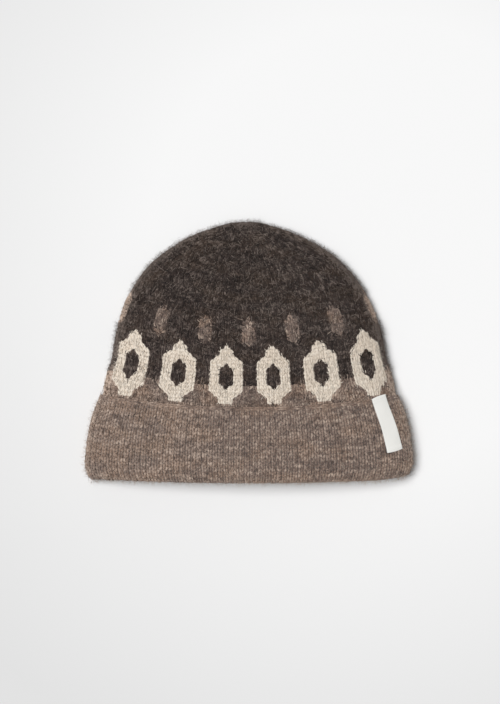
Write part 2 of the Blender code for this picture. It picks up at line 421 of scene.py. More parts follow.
def half_widths(table):
    """Half the widths, in stitches, of a motif's hole and of the motif: a row for each of its rows of
    stitches, and one more below and above them, where it has all but closed."""
    widths = [
        [max(half_hole + 0.5, 0), half_width + 0.5]
        for rows, half_width, half_hole in table
        for _ in range(rows)
    ]
    below, above = ([0, max(widths[end][1] - 0.5, 0)] for end in (0, -1))
    return np.array([below, *widths, above])


def slanted(turn, walk, row):
    """Turns of points in the given rows, moved so that the felted motifs' edges run on a slant from row to
    row, with no more than a trace of the steps."""
    column = uneased(turn) * STITCHES_ROUND
    level = (walk - CUFF_DEPTH) / YOKE_ROW
    moved = column
    far = STITCHES_IN_GORE / 2
    for table, first_row, middle in (EYE, DOT):
        widths = half_widths(table)
        rows = np.arange(len(widths)) + first_row - 1
        here = (row > rows[0]) & (row < rows[-1])
        in_table = np.clip(row - rows[0], 0, len(rows) - 1).astype(int)
        hole, edge = widths[in_table, 0], widths[in_table, 1]
        hole_to = hole + SLANT * np.where(hole > 0, np.interp(level, rows + 0.5, widths[:, 0]) - hole, 0)
        edge_to = edge + SLANT * (np.interp(level, rows + 0.5, widths[:, 1]) - edge)
        aside = (column - middle + far) % STITCHES_IN_GORE - far
        size = np.abs(aside)
        inside = size * hole_to / np.maximum(hole, 0.5)
        ring = hole_to + (size - hole) * (edge_to - hole_to) / np.maximum(edge - hole, 0.5)
        outside = edge_to + (size - edge) * (far - edge_to) / (far - edge)
        to = np.where(size < hole, inside, np.where(size < edge, ring, outside))
        moved = np.where(here, moved + np.sign(aside) * (to - size), moved)
    shift = eased(moved / STITCHES_ROUND) - eased(column / STITCHES_ROUND)
    return turn + np.where(moved == column, 0, shift)


def body_stitches():
    """Every stitch of the body, from just under the cuff's edge to the top, as one array for each name."""
    made = []
    walk = CUFF_DEPTH - HIDDEN_ROWS * YOKE_ROW
    row = -HIDDEN_ROWS
    stitches = float(STITCHES_IN_GORE)
    while walk < cloth.last - 0.5 * CROWN_ROW:
        height = YOKE_ROW if row < YOKE_ROWS else CROWN_ROW
        gore = cloth.way_round(walk + height / 2) / GORES
        if row >= YOKE_ROWS:
            stitches = min(stitches, max(gore / CROWN_STITCH, 1))
        whole = int(stitches)
        shares = [1.0] * whole
        if stitches - whole >= LEAST_STITCH:
            shares.append(stitches - whole)
        shares = np.array(shares) / sum(shares)
        starts = running(shares)[:-1]
        for g in range(GORES):
            for k, (start, share) in enumerate(zip(starts, shares)):
                turn = (g + start + share / 2) / GORES - 0.5 / STITCHES_ROUND
                column = g * STITCHES_IN_GORE + k
                made.append((turn, walk, share / GORES, gore * share, height, row, column, yarn_at(row, k)))
        walk += height
        row += 1
    names = ("turn", "walk", "turns_wide", "width", "height", "row", "column", "yarn")
    return with_give(dict(zip(names, np.array(made).T)))


def cuff_stitches():
    """Every stitch of the cuff, from its bound-off edge down and round the hem."""
    row, column = np.meshgrid(np.arange(CUFF_COURSES), np.arange(STITCHES_ROUND), indexing="ij")
    row, column = row.ravel().astype(float), column.ravel().astype(float)
    walk = row * CUFF_ROW
    distance = np.clip(CUFF_DEPTH - walk, 0, None)
    one = np.ones_like(row)
    return with_give({
        "turn": column / STITCHES_ROUND,
        "walk": walk,
        "turns_wide": one / STITCHES_ROUND,
        "width": round_cuff(distance) / STITCHES_ROUND,
        "height": one * CUFF_ROW,
        "row": row,
        "column": column,
        "yarn": one * TAUPE,
    })


def chosen(stitches, keep):
    """The stitches that keep marks."""
    return {name: values[keep] for name, values in stitches.items()}


def heather_of(stitches, rng):
    """How light the yarn is at each stitch: it drifts along each row, and changes at each stitch."""
    knots = rng.normal(0, 1, (KNOT_ROWS, STITCHES_ROUND // KNOT_STITCHES))
    spot = stitches["column"] / STITCHES_ROUND * knots.shape[1]
    i = spot.astype(int) % knots.shape[1]
    part = spot - spot.astype(int)
    row = stitches["row"].astype(int) % len(knots)
    slow = knots[row, i] * (1 - part) + knots[row, (i + 1) % knots.shape[1]] * part
    return 0.45 * slow + 0.55 * rng.normal(0, 1, len(spot))


def from_front(turn):
    """How far turns are from the middle of the front, either way: 0.5 is the middle of the back."""
    return np.abs((turn + 0.5) % 1 - 0.5)


def near_fold(place, stitches):
    """How close each stitch is to the hat's outline, from 0 to 1: the folded sides, the hem or the top."""
    aside = from_front(stitches["turn"])
    near = 1 - np.abs(aside - FOLD_TURN) / FOLD_REACH
    if place is on_cuff:
        near = np.maximum(near, 1 - np.abs(stitches["walk"] - CUFF_LEG - HEM_BEND / 2) / HEM_BEND)
    elif place is on_body:
        near = np.maximum(near, 1 - (cloth.last - stitches["walk"]) / TOP_REACH)
    return np.clip(near, 0, 1)


def fold_painted_highlight(place, stitches):
    """Painted highlight: how much paler each stitch is painted for lying near a fold, where its fuzz catches
    the light. On the cuff it fades sooner.
    """
    near = near_fold(place, stitches)
    return CUFF_PAINTED_HIGHLIGHT * near**3 if place is on_cuff else BODY_PAINTED_HIGHLIGHT * near


def new_object(name, data):
    """An object in the scene, for a mesh, a light or a camera."""
    obj = bpy.data.objects.new(name, data)
    bpy.context.scene.collection.objects.link(obj)
    return obj


def mesh_object(name, points, faces, materials, which=None):
    """A mesh object from points and a list of face arrays. which says the material of each face."""
    mesh = bpy.data.meshes.new(name)
    sizes = np.concatenate([np.full(len(part), part.shape[1]) for part in faces])
    corners = np.concatenate([part.ravel() for part in faces])
    mesh.vertices.add(len(points))
    mesh.vertices.foreach_set("co", np.asarray(points, np.float32).ravel())
    mesh.loops.add(len(corners))
    mesh.loops.foreach_set("vertex_index", corners.astype(np.int32))
    mesh.polygons.add(len(sizes))
    mesh.polygons.foreach_set("loop_start", running(sizes)[:-1].astype(np.int32))
    mesh.update(calc_edges=True)
    mesh.shade_smooth()
    for material in materials:
        mesh.materials.append(material)
    if which is not None:
        mesh.polygons.foreach_set("material_index", which.astype(np.int32))
    return new_object(name, mesh)


def point_values(obj, name, values):
    """Keeps one number, or one vector, for each point of the mesh, for its material to read."""
    kind = "FLOAT" if values.ndim == 1 else "FLOAT_VECTOR"
    held = obj.data.attributes.new(name, kind, "POINT")
    held.data.foreach_set("value" if values.ndim == 1 else "vector", values.astype(np.float32).ravel())


def bake_map(obj, places):
    """A map of the mesh onto a square, with one place for each face corner."""
    layer = obj.data.uv_layers.new(name="OFBake")
    layer.data.foreach_set("uv", places.astype(np.float32).ravel())


def cells(count):
    """The lower left corners and the size of a square's cells, one for each of many like things."""
    side = math.ceil(math.sqrt(count))
    number = np.arange(count)
    return np.stack([number % side, number // side], 1) / side, 1 / side


# The shape of one leg of a stitch, in shares of the stitch's width and height. A leg starts low at the
# middle of its column, leans outward as it rises, and dips under the next stitch at both ends.
LEG_RINGS = np.array([0.20, 0.50, 0.80])
LEG_START = 0.08
LEG_SPREAD = 0.35
LEG_DROP = 0.28
LEG_RISE = 1.60
LEG_HALF_WIDTH = 0.255
LEG_HALF_THICKNESS = 0.85 * MM
LEG_DIP = 0.95 * MM
LEG_TOP = -0.55 * MM


def leg_faces(rings, sides):
    """Faces of a closed leg: two tips, and rings of points between them. The tips are the last points."""
    i = np.arange(rings - 1)[:, None] * sides
    j = np.arange(sides)[None]
    k = (j + 1) % sides
    quads = np.stack([i + j, i + k, i + k + sides, i + j + sides], -1).reshape(-1, 4)
    low, high = rings * sides, rings * sides + 1
    top = (rings - 1) * sides
    fans = [np.stack([k[0], j[0], np.full(sides, low)], -1)]
    fans.append(np.stack([top + j[0], top + k[0], np.full(sides, high)], -1))
    return quads, np.concatenate(fans)


def leg_map(rings, sides):
    """Where the corners of leg_faces lie in the leg's own square: along it, and round it."""
    level = np.concatenate([[0.02], 0.04 + 0.92 * np.arange(rings) / max(rings - 1, 1), [0.98]])
    places = []
    for i in range(rings - 1):
        for j in range(sides):
            places += [(j, i + 1), (j + 1, i + 1), (j + 1, i + 2), (j, i + 2)]
    for j in range(sides):
        places += [(j + 1, 1), (j, 1), (j + 0.5, 0)]
    for j in range(sides):
        places += [(j, rings), (j + 1, rings), (j + 0.5, rings + 1)]
    return np.array([(0.04 + 0.92 * a / sides, level[b]) for a, b in places])


def with_tips(rings, tips):
    """Each strand's values round its rings, and after them those of its two tips."""
    return np.concatenate([rings.reshape(len(tips), -1), tips], 1)


def strands_mesh(name, points, rings, sides, material, tone, thread, turn_over=False):
    """Many closed strands as one mesh, each with a tone, places along its thread and a cell of the map.
    turn_over lists each face's corners the other way about, for strands whose points run that way."""
    count, per_strand = points.shape[:2]
    quads, fans = leg_faces(rings, sides)
    split = 4 * len(quads)
    corner, size = cells(count)
    spots = size * leg_map(rings, sides)
    first = np.arange(count)[:, None, None] * per_strand
    order = slice(None, None, -1 if turn_over else 1)
    faces, places = [], []
    for part, part_spots in ((quads, spots[:split]), (fans, spots[split:])):
        if len(part):
            corners = part.shape[1]
            part_spots = part_spots.reshape(-1, corners, 2)[:, order].reshape(-1, 2)
            faces.append((first + part[:, order]).reshape(-1, corners))
            places.append((corner[:, None] + part_spots).reshape(-1, 2))
    obj = mesh_object(name, points.reshape(-1, 3), faces, [material])
    point_values(obj, "thread", thread.reshape(-1, 3))
    point_values(obj, "tone", np.repeat(tone, per_strand))
    bake_map(obj, np.concatenate(places))
    return obj


def knit(name, place, stitches, material, seed, sides, fullness=1.0):
    """A piece of knitting: two legs for each stitch, as one mesh, with sides points round each leg.
    fullness is how far the yarn has bloomed."""
    rng = np.random.default_rng(seed)
    count = len(stitches["turn"])
    # Stitches near a fold are painted paler: a painted highlight
    tone = heather_of(stitches, rng) + fold_painted_highlight(place, stitches)
    both = {key: np.repeat(values, 2) for key, values in stitches.items()}
    both["tone"] = np.repeat(tone, 2) + rng.normal(0, 0.35, 2 * count)
    side = np.tile([-1.0, 1.0], count)
    legs = 2 * count
    rings = len(LEG_RINGS)

    t = np.concatenate([LEG_RINGS, [0, 1]])
    fat = np.concatenate([np.sqrt(1 - np.abs(2 * LEG_RINGS - 1) ** 3), [0, 0]])
    across = side[:, None] * (LEG_START + LEG_SPREAD * t**0.8) + rng.normal(0, 0.02, (legs, 1))
    lean = side[:, None] * LEG_SPREAD * 0.8 * np.maximum(t, 0.05) ** -0.2
    up = -LEG_DROP + LEG_RISE * t + rng.normal(0, 0.05, (legs, 1))
    dip = LEG_TOP - LEG_DIP * np.abs(2 * t - 1) ** 2.5 + rng.normal(0, 0.12 * MM, (legs, 1))
    width, height = both["width"][:, None], both["height"][:, None]
    run_x, run_y = lean * width, LEG_RISE * height
    run = np.hypot(run_x, run_y)
    girth = fat * (1 + rng.normal(0, 0.07, (legs, 1)))
    half_width = LEG_HALF_WIDTH * fullness * width * girth
    half_thickness = LEG_HALF_THICKNESS * girth

    angle = 2 * math.pi * (np.arange(sides) + 0.5) / sides
    ring_x, ring_z = np.cos(angle), np.sin(angle)

    def spread(values):
        return values[:, :rings, None]

    x = spread(across * width) + spread(half_width * run_y / run) * ring_x
    y = spread(up * height) - spread(half_width * run_x / run) * ring_x
    z = spread(dip) + spread(half_thickness) * ring_z
    x = with_tips(x, (across * width)[:, rings:])
    y = with_tips(y, (up * height)[:, rings:])
    z = with_tips(z, dip[:, rings:])
    turns = both["turn"][:, None] + x / width * both["turns_wide"][:, None]
    walks = both["walk"][:, None] + y
    if place is on_body:
        turns = slanted(turns, walks, both["row"][:, None])
    points = place(turns, walks, z)
    along = np.concatenate([np.repeat(LEG_RINGS, sides), [0, 1]]) * run.mean(1, keepdims=True)
    thread = np.stack([along, x - (across * width)[:, [1]], z], -1) + rng.uniform(0, 1, (legs, 1, 3))
    return strands_mesh(name, points, rings, sides, material, both["tone"], thread)


# Loose fibres. Tufts are felted down: both ends sink into the knitting. Hairs stand out of it at one end.
# rings:  places along the fibre between its tips, with three points round it at each
# length, half, lift: typical length, half width, and height of its highest part above its ends
# level:  height of its ends above the knitting's face
# ends:   how far its free end stays up, as a share of its lift
# grain:  what share of them keeps to the columns
# folds:  how many times denser they grow near the folds
# stray:  how many times higher they stand there
# pale:   how much paler they are painted there, a painted highlight on top of the yarn's own painted highlight
# behind: how dense they grow on the back, as a share of the front
TUFT = {
    "rings": 2,
    "length": 4.4 * MM,
    "half": 0.24 * MM,
    "lift": 0.95 * MM,
    "level": -0.85 * MM,
    "ends": 0.0,
    "grain": 0.92,
    "folds": 1,
    "stray": 1,
    "pale": 0.5,
    "behind": 0.35,
}
CREAM_TUFT = {**TUFT, "half": 0.29 * MM}
TAUPE_TUFT = {**TUFT, "grain": 0.4, "level": -0.65 * MM}
CROWN_TUFT = {**TUFT, "length": 6.2 * MM, "half": 0.22 * MM, "grain": 0.1}
CUFF_TUFT = {**TUFT, "half": 0.20 * MM, "grain": 0.4}
HAIR = {
    "rings": 1,
    "length": 3.0 * MM,
    "half": 0.06 * MM,
    "lift": 1.3 * MM,
    "level": -0.25 * MM,
    "ends": 1.0,
    "grain": 0.0,
    "folds": 8,
    "stray": 2.5,
    "pale": 3.2,
    "behind": 0.15,
}

# A fibre that crosses the cream's border is this much shorter: other yarns' onto it, and its own off it
ONTO_CREAM = 0.3
OFF_CREAM = 0.45


def yarn_of_place(turn, walk):
    """The yarn of the body's stitch at each place, for places given in stitches' own turns."""
    row = np.floor((walk - CUFF_DEPTH) / YOKE_ROW).astype(int) + HIDDEN_ROWS
    column = np.floor(turn * STITCHES_ROUND + 0.5).astype(int) % STITCHES_ROUND
    inside = (row >= 0) & (row < len(YOKE_CHART))
    return np.where(inside, YOKE_CHART[np.clip(row, 0, len(YOKE_CHART) - 1), column], CHARCOAL)


def loose_fibres(name, place, stitches, count, kind, material, seed, bare):
    """Thin closed spindles that start in the given stitches, each with its own heading, curl and tone.
    bare tells which places stay free of them."""
    rng = np.random.default_rng(seed)
    at_fold = near_fold(place, stitches) > 0
    behind = from_front(stitches["turn"]) > BEHIND_TURN
    thick = np.where(behind, kind["behind"], 1) * np.where(at_fold, kind["folds"], 1)
    weight = stitches["width"] * stitches["height"] * thick
    pick = rng.choice(len(weight), count, p=weight / weight.sum())
    own = {key: values[pick] for key, values in stitches.items()}
    turn = own["turn"] + rng.uniform(-0.5, 0.5, count) * own["turns_wide"]
    walk = own["walk"] + rng.uniform(0, 1, count) * own["height"]
    any_way = rng.uniform(0, 2 * math.pi, count)
    with_columns = rng.choice([-1, 1], count) * math.pi / 2 + rng.normal(0, 0.3, count)
    heading = np.where(rng.uniform(0, 1, count) < kind["grain"], with_columns, any_way)
    curl = rng.normal(0, 0.75, count)
    length = kind["length"] * np.clip(rng.lognormal(0, 0.4, count), 0.4, 2.4)
    half = kind["half"] * rng.uniform(0.6, 1.4, count)
    lift = kind["lift"] * np.clip(rng.normal(1, 0.35, count), 0.2, 2)
    lift = np.where(at_fold[pick], kind["stray"], 1) * lift
    # Fibres near a fold are painted paler: a painted highlight
    tone = rng.normal(0, 1.5, count) + fold_painted_highlight(place, own) + np.where(at_fold[pick], kind["pale"], 0)
    seeds = rng.uniform(0, 1, (count, 1, 3))
    per_turn = own["width"] / own["turns_wide"]
    if place is on_body:
        is_cream = own["yarn"] == CREAM
        crosses = np.zeros(count, bool)
        for reach in (0.4, 0.7, 1.0):
            over_turn = uneased(turn + reach * length * np.cos(heading) / per_turn)
            over = yarn_of_place(over_turn, walk + reach * length * np.sin(heading))
            crosses |= (over == CREAM) != is_cream
        length = np.where(crosses, np.where(is_cream, OFF_CREAM, ONTO_CREAM) * length, length)
        curl = np.where(crosses, 0.4 * curl, curl)
        turn = slanted(turn, walk, own["row"])
    from_edge = walk if place is on_cuff else CUFF_DEPTH - walk
    free = ~bare(turn, from_edge, per_turn)
    turn, walk, heading, curl, length, half, lift, tone, seeds, per_turn = (
        values[free] for values in (turn, walk, heading, curl, length, half, lift, tone, seeds, per_turn)
    )
    count = len(turn)

    rings = kind["rings"]
    t = np.concatenate([[0], (np.arange(rings) + 0.8) / (rings + 0.6), [1]])
    way = heading[:, None] + curl[:, None] * (t[1:] + t[:-1] - 1)
    step = np.diff(t) * length[:, None]
    zero = np.zeros((count, 1))
    x = np.concatenate([zero, np.cumsum(step * np.cos(way), axis=1)], 1)
    y = np.concatenate([zero, np.cumsum(step * np.sin(way), axis=1)], 1)
    rise = np.sin(math.pi * t) ** 0.6 * (1 - kind["ends"]) + t * kind["ends"]
    z = kind["level"] + lift[:, None] * rise

    beside = half[:, None, None]
    middle = slice(1, -1)
    aside_x, aside_y = -np.sin(way[:, 1:, None]) * beside, np.cos(way[:, 1:, None]) * beside
    round_it = np.array([-1.0, 1.0, 0.0])
    above = np.array([0.0, 0.0, 1.1])
    tips = [0, -1]
    x = with_tips(x[:, middle, None] + aside_x * round_it, x[:, tips])
    y = with_tips(y[:, middle, None] + aside_y * round_it, y[:, tips])
    z = with_tips(z[:, middle, None] + beside * above, z[:, tips])
    points = place(turn[:, None] + x / per_turn[:, None], walk[:, None] + y, z)

    thread = np.stack([y, x, z], -1) + seeds
    return strands_mesh(name, points, rings, 3, material, tone, thread, turn_over=True)


def shell(name, place, walks, outs, materials, which=None):
    """A closed wall of plain cloth through rings at the given walks and outs, with a quad for each stitch
    round. which says the material of each quad."""
    columns = STITCHES_ROUND
    turns = eased((np.arange(columns) - 0.5) / columns)
    points = place(turns[None], np.asarray(walks)[:, None], np.asarray(outs)[:, None])
    rings = len(walks)
    i = np.arange(rings)[:, None]
    j = np.arange(columns)[None]
    after, beside = (i + 1) % rings, (j + 1) % columns
    quads = np.stack([
        i * columns + j + 0 * beside,
        i * columns + beside,
        after * columns + beside,
        after * columns + j,
    ], -1).reshape(-1, 4)
    obj = mesh_object(name, points.reshape(-1, 3), [quads], materials, which=which)
    left = np.stack(np.broadcast_arrays(j / columns, (i + 0.0) / rings), -1)
    step = np.array([(0, 0), (1 / columns, 0), (1 / columns, 1 / rings), (0, 1 / rings)])
    bake_map(obj, (left[:, :, None] + step).reshape(-1, 2))
    return obj


# Materials


def give(tree, node, values):
    """Puts values on a node's inputs: another node's output is linked, and anything else is set."""
    for label, value in values.items():
        if isinstance(value, bpy.types.NodeSocket):
            tree.links.new(value, node.inputs[label])
        else:
            node.inputs[label].default_value = value


def new_node(tree, kind, values, **settings):
    """A new node with its own settings, and values on its inputs."""
    node = tree.nodes.new("ShaderNode" + kind)
    for name, setting in settings.items():
        setattr(node, name, setting)
    give(tree, node, values)
    return node


def new_material(name, values):
    """A material with the given values on its Principled shader, and that shader and the node tree."""
    material = bpy.data.materials.new(name)
    material.use_nodes = True
    shader = material.node_tree.nodes["Principled BSDF"]
    give(material.node_tree, shader, values)
    return material, shader, material.node_tree


def group_tree(name, sockets):
    """An empty shader node group, what is given to it, and the node that takes its results.
    sockets are (name, INPUT or OUTPUT, kind)."""
    tree = bpy.data.node_groups.new(name, "ShaderNodeTree")
    for label, way, kind in sockets:
        tree.interface.new_socket(label, in_out=way, socket_type="NodeSocket" + kind)
    return tree, tree.nodes.new("NodeGroupInput").outputs, tree.nodes.new("NodeGroupOutput")


def object_place(tree):
    """Where a point is on the object, in metres."""
    return new_node(tree, "TexCoord", {}).outputs["Object"]


def attribute(tree, name):
    """The node that reads a value kept by point_values."""
    return new_node(tree, "Attribute", {}, attribute_name=name)


def scaled(tree, place, scale):
    """The given places, stretched or squeezed along each axis."""
    return new_node(tree, "Mapping", {"Vector": place, "Scale": scale}).outputs["Vector"]


def noise(tree, place, scale, detail, roughness=0.5):
    """Soft noise from 0 to 1 at the given places."""
    values = {"Vector": place, "Scale": scale, "Detail": detail, "Roughness": roughness}
    return new_node(tree, "TexNoise", values).outputs["Fac"]


def remapped(tree, value, low, high, to_low=0.0, to_high=1.0):
    """The value moved evenly from the range low to high onto another, and held at its ends."""
    values = {"Value": value, "From Min": low, "From Max": high, "To Min": to_low, "To Max": to_high}
    return new_node(tree, "MapRange", values).outputs["Result"]


def mixed(tree, factor, first, second):
    """The first colour where the factor is 0, and the second where it is 1."""
    values = {"Factor": factor, "A": first, "B": second}
    return new_node(tree, "Mix", values, data_type="RGBA").outputs["Result"]


def math_node(tree, operation, first, second):
    """One sum of two values, each a socket or a plain number."""
    return new_node(tree, "Math", {0: first, 1: second}, operation=operation).outputs[0]


def add_relief(tree, shader, height, strength, distance):
    """Bumps the shader's surface by a height from 0 to 1 over a distance."""
    values = {"Height": height, "Strength": strength, "Distance": distance}
    give(tree, shader, {"Normal": new_node(tree, "Bump", values).outputs["Normal"]})


def heather_group():
    """Wool of mixed fleeces: soft patches of a warmer fleece, and pale and dark fibres along the thread."""
    colours = [(label, "INPUT", "Color") for label in ("Wool", "Warm Fleece", "Pale Fibre", "Dark Fibre")]
    amounts = [(label, "INPUT", "Float") for label in ("Patches", "Fibres", "Tone", "Clumps")]
    results = [("Color", "OUTPUT", "Color"), ("Height", "OUTPUT", "Float")]
    tree, given, result = group_tree("Heathered Wool", colours + amounts + results)
    place = object_place(tree)
    thread = attribute(tree, "thread").outputs["Vector"]
    tone = attribute(tree, "tone").outputs["Fac"]

    patches = remapped(tree, noise(tree, scaled(tree, place, (0.6, 1.2, 1)), 62, 3), 0.42, 0.62)
    patches = math_node(tree, "MULTIPLY", patches, given["Patches"])
    wool = mixed(tree, patches, given["Wool"], given["Warm Fleece"])

    strands = noise(tree, scaled(tree, thread, (0.35, 1, 1)), 2200, 3, 0.6)
    clumps = math_node(tree, "SUBTRACT", noise(tree, place, 480, 3, 0.65), 0.5)
    clumps = math_node(tree, "MULTIPLY", clumps, given["Clumps"])
    light = math_node(tree, "MULTIPLY", tone, given["Tone"])
    both = math_node(tree, "ADD", math_node(tree, "ADD", strands, clumps), light)
    pale = math_node(tree, "MULTIPLY", remapped(tree, both, 0.52, 0.90), given["Fibres"])
    dark = math_node(tree, "MULTIPLY", remapped(tree, both, 0.48, 0.14), given["Fibres"])
    colour = mixed(tree, pale, wool, given["Pale Fibre"])
    colour = mixed(tree, dark, colour, given["Dark Fibre"])
    give(tree, result, {"Color": colour, "Height": strands})
    return tree


def wool(name, values, sheen):
    """Matt wool with the heathered group's colour, and fine relief along its fibres."""
    material, shader, tree = new_material(name, {
        "Roughness": 0.92,
        "Specular IOR Level": 0.06,
        "Sheen Weight": sheen,
        "Sheen Roughness": 0.6,
    })
    fleeces = new_node(tree, "Group", values, node_tree=heathered)
    give(tree, shader, {"Base Color": fleeces.outputs["Color"]})
    add_relief(tree, shader, fleeces.outputs["Height"], 0.35, 0.3 * MM)
    return material


heathered = heather_group()

# Each wool's values for the group. The yoke's taupe is darker than the cuff's, and its charcoal paler
# than the crown's.
YOKE_TAUPE = (0.182, 0.134, 0.112, 1)
YOKE_CHARCOAL = (0.056, 0.041, 0.036, 1)
TAUPE_WOOL = {
    "Wool": (0.215, 0.154, 0.125, 1),
    "Warm Fleece": (0.280, 0.190, 0.140, 1),
    "Pale Fibre": (0.58, 0.46, 0.375, 1),
    "Dark Fibre": (0.050, 0.034, 0.028, 1),
    "Patches": 0.85,
    "Fibres": 0.85,
    "Tone": 0.13,
    "Clumps": 1.25,
}
CHARCOAL_WOOL = {
    "Wool": (0.044, 0.032, 0.028, 1),
    "Warm Fleece": (0.062, 0.042, 0.031, 1),
    "Pale Fibre": (0.230, 0.185, 0.160, 1),
    "Dark Fibre": (0.010, 0.007, 0.006, 1),
    "Patches": 0.7,
    "Fibres": 0.8,
    "Tone": 0.17,
    "Clumps": 0.85,
}
CREAM_WOOL = {
    "Wool": (0.74, 0.66, 0.565, 1),
    "Warm Fleece": (0.70, 0.60, 0.495, 1),
    "Pale Fibre": (0.83, 0.77, 0.69, 1),
    "Dark Fibre": (0.56, 0.47, 0.38, 1),
    "Patches": 0.5,
    "Fibres": 0.5,
    "Tone": 0.10,
    "Clumps": 0.8,
}
taupe_wool = wool("taupe_wool", TAUPE_WOOL, sheen=0.22)
yoke_taupe_wool = wool("yoke_taupe_wool", {**TAUPE_WOOL, "Wool": YOKE_TAUPE}, sheen=0.12)
charcoal_wool = wool("charcoal_wool", CHARCOAL_WOOL, sheen=0.06)
yoke_charcoal_wool = wool("yoke_charcoal_wool", {**CHARCOAL_WOOL, "Wool": YOKE_CHARCOAL}, sheen=0.06)
cream_wool = wool("cream_wool", CREAM_WOOL, sheen=0.15)


def add(piece, slot, *nodes):
    """Makes a piece part of the hat, in place of the solid nodes that are named."""
    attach(piece, "root")
    if nodes:
        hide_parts(*nodes)


# Each piece has random numbers of its own, so that a change to one leaves the others as they are
BODY_SEED = 11
CUFF_SEED = 31
CHAIN_SEED = 41
FIBRE_SEED = 51
THREAD_SEED = 71

# The hat's body

UNDER_STITCHES = -1.0 * MM
FELTED_UNDER_STITCHES = -0.6 * MM
BODY_START = HEM_RADIUS + 0.3 * MM
body = body_stitches()
MOUTH_DEPTH = CUFF_COURSES * CUFF_ROW - CUFF_LEG - HEM_BEND + HEM_RADIUS
yoke_start = CUFF_DEPTH - HIDDEN_ROWS * YOKE_ROW
yoke_end = CUFF_DEPTH + YOKE_ROWS * YOKE_ROW


def backing(name, walks, materials, chart=None, inner_out=-KNIT_WALL):
    """The felted cloth under the body's stitches: its outer side, and the side that faces the hollow.
    chart gives the material of each quad, a row for each stretch between walks."""
    count = len(walks)
    outs = np.repeat([FELTED_UNDER_STITCHES, inner_out], count)
    which = None
    if chart is not None:
        blank = np.zeros((1, STITCHES_ROUND))
        inner = np.where(np.arange(len(chart)) < HIDDEN_ROWS + TAUPE_ROWS, TAUPE, CHARCOAL)
        inner = np.repeat(inner[::-1, None], STITCHES_ROUND, axis=1)
        which = np.concatenate([chart, chart[-1:], inner, blank]).ravel()
    return shell(name, on_body, np.concatenate([walks, walks[::-1]]), outs, materials, which)


def body_backing():
    """The body's plain cloth: inside the mouth, behind the cuff, behind the yoke, and up to the top."""
    mouth = np.linspace(BODY_START, MOUTH_DEPTH, 10)
    hidden = np.linspace(MOUTH_DEPTH, yoke_start, 12)
    yoke = np.linspace(yoke_start, yoke_end, HIDDEN_ROWS + YOKE_ROWS + 1)
    crown = np.linspace(yoke_end, cloth.last, 45)
    yarns = [charcoal_wool, taupe_wool, cream_wool]
    mouth_band = backing("mouth_band", mouth, [taupe_wool], inner_out=-KNIT_WALL - UNDER_STITCHES)
    add(mouth_band, "cuff_knit", "crown")
    add(backing("hidden_band", hidden, [taupe_wool]), "cuff_knit", "crown")
    add(backing("yoke_backing", yoke, yarns, YOKE_CHART), "crown_knit", "crown")
    add(backing("crown_backing", crown, [charcoal_wool]), "crown_knit", "crown")


body_backing()

front = from_front(body["turn"]) < FRONT_TURN
upper = body["row"] >= YOKE_ROWS
charcoal_yoke = ~upper & (body["yarn"] == CHARCOAL)

# Name, material, slot, which stitches, points round each leg, and how far the yarn has bloomed
knitting = (
    ("crown_front", charcoal_wool, "crown_knit", upper & front, 5, 1.1),
    ("crown_back", charcoal_wool, "crown_knit", upper & ~front, 3, 1.1),
    ("yoke_charcoal_front", yoke_charcoal_wool, "crown_knit", charcoal_yoke & front, 5, 1.1),
    ("yoke_charcoal_back", yoke_charcoal_wool, "crown_knit", charcoal_yoke & ~front, 3, 1.1),
    ("yoke_taupe", yoke_taupe_wool, "cuff_knit", body["yarn"] == TAUPE, 5, 1.22),
    ("yoke_cream", cream_wool, "label_weave", body["yarn"] == CREAM, 5, 1.32),
)
for seed, (name, material, slot, keep, sides, fullness) in enumerate(knitting, BODY_SEED):
    add(knit(name, on_body, chosen(body, keep), material, seed, sides, fullness), slot)

# The cuff

cuff = cuff_stitches()
front = from_front(cuff["turn"]) < FRONT_TURN
outer = cuff["walk"] < CUFF_LEG + HEM_BEND

# Name, which stitches, and points round each leg
cuff_knitting = (
    ("cuff_front", front & outer, 5),
    ("cuff_back", ~front & outer, 3),
    ("mouth_lining", ~outer, 3),
)
for seed, (name, keep, sides) in enumerate(cuff_knitting, CUFF_SEED):
    add(knit(name, on_cuff, chosen(cuff, keep), taupe_wool, seed, sides), "cuff_knit", "cuff")


def cuff_backing():
    """The cloth under the cuff's stitches: down the outside, round the hem and a little way up inside."""
    outer_walk = np.linspace(1.2 * MM, CUFF_LEG, 26)
    hem_walk = np.linspace(CUFF_LEG, CUFF_LEG + HEM_BEND, 10)[1:]
    walks = np.concatenate([outer_walk, hem_walk, outer_walk[::-1]])
    outs = np.concatenate([
        np.full(len(outer_walk) + len(hem_walk), UNDER_STITCHES),
        np.full(len(outer_walk), -KNIT_WALL),
    ])
    add(shell("cuff_backing", on_cuff, walks, outs, [taupe_wool]), "cuff_knit", "cuff")


cuff_backing()

# The chain's width, how far down from the cuff's edge it lies, and how far out
CHAIN_WIDTH = 2.7 * MM
CHAIN_PLACE = 0.5 * MM
CHAIN_LIFT = 0.75 * MM


def bound_off_edge():
    """The chain along the cuff's top edge: one link for each stitch, lying along the row."""
    round_edge = round_cuff(CUFF_DEPTH)
    link = round_edge / STITCHES_ROUND
    count = STITCHES_ROUND
    one = np.ones(count)
    links = {
        "turn": 0 * one,
        "walk": link * np.arange(count),
        "turns_wide": CHAIN_WIDTH * one,
        "width": CHAIN_WIDTH * one,
        "height": link * one,
        "row": 0 * one,
        "column": np.arange(count) * 1.0,
    }

    def on_edge(across, along, out):
        return on_cuff(eased(along / round_edge), CHAIN_PLACE + across, out + CHAIN_LIFT)

    return knit("bound_off_edge", on_edge, links, taupe_wool, CHAIN_SEED, sides=6)


add(bound_off_edge(), "cuff_knit", "cuff")

# The label

